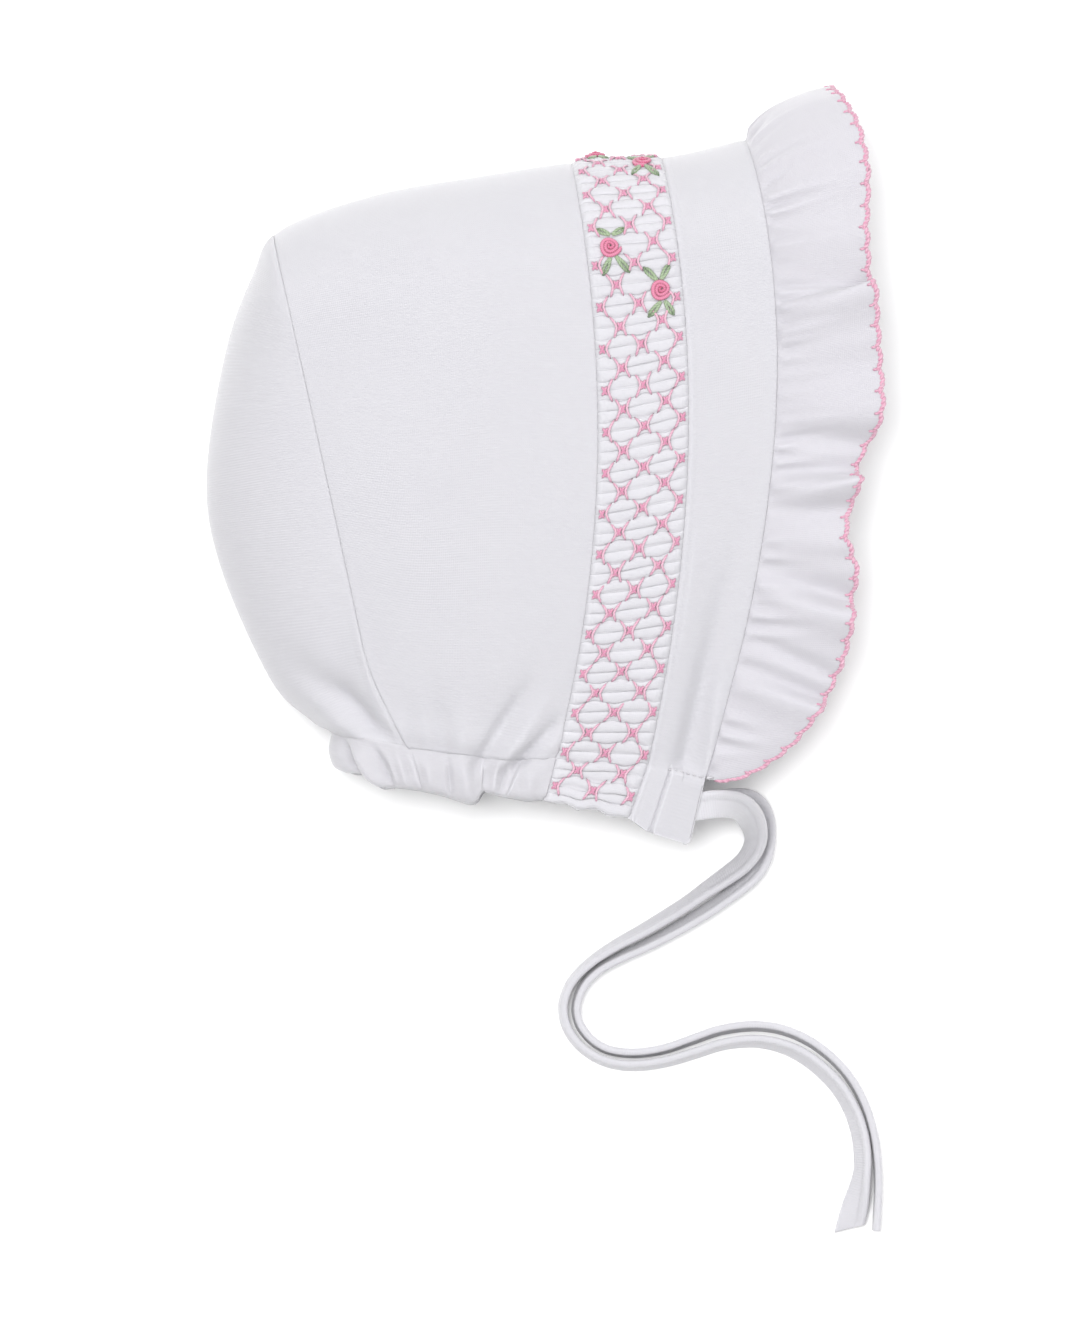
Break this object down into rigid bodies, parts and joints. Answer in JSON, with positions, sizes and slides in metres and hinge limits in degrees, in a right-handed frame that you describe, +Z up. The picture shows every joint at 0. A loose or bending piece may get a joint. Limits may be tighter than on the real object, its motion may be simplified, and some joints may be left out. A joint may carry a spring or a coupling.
{
  "type": "smocked bonnet",
  "caption": "Newborn's jersey bonnet lying on its side: rounded back, smocked band over the head, gathered face ruffle, gathered neck casing and flat ties; open at the face and neck.",
  "frame": {"origin": "on the surface that the bonnet lies on, under the middle of the bonnet without its ties", "axes": "+X out of the face opening, +Y towards the crown, +Z up from the surface, which is out of the wearer's right cheek"},
  "size_m": [0.1621, 0.2761, 0.0648],
  "materials": {
    "white_jersey": "fine cotton jersey, matt, with faint rib lines",
    "smocked_jersey": "cotton jersey drawn up into rounded pleats",
    "ruffle_jersey": "single cotton jersey, gathered",
    "casing_jersey": "doubled cotton jersey over elastic, gathered",
    "tie_jersey": "folded and stitched cotton jersey",
    "pink_thread": "stranded cotton in pale pink, soft sheen",
    "rose_thread": "stranded cotton in rose pink with a deep centre",
    "leaf_thread": "stranded cotton in sage green",
    "white_thread": "white sewing thread"
  },
  "bodies": {
    "root": {"back_panel": "white_jersey", "crown_panel": "white_jersey", "smocked_band": "smocked_jersey", "front_band": "white_jersey", "ruffle": "ruffle_jersey", "nape_casing": "casing_jersey", "tie_right": "tie_jersey", "tie_left": "tie_jersey"}
  },
  "joints": []
}
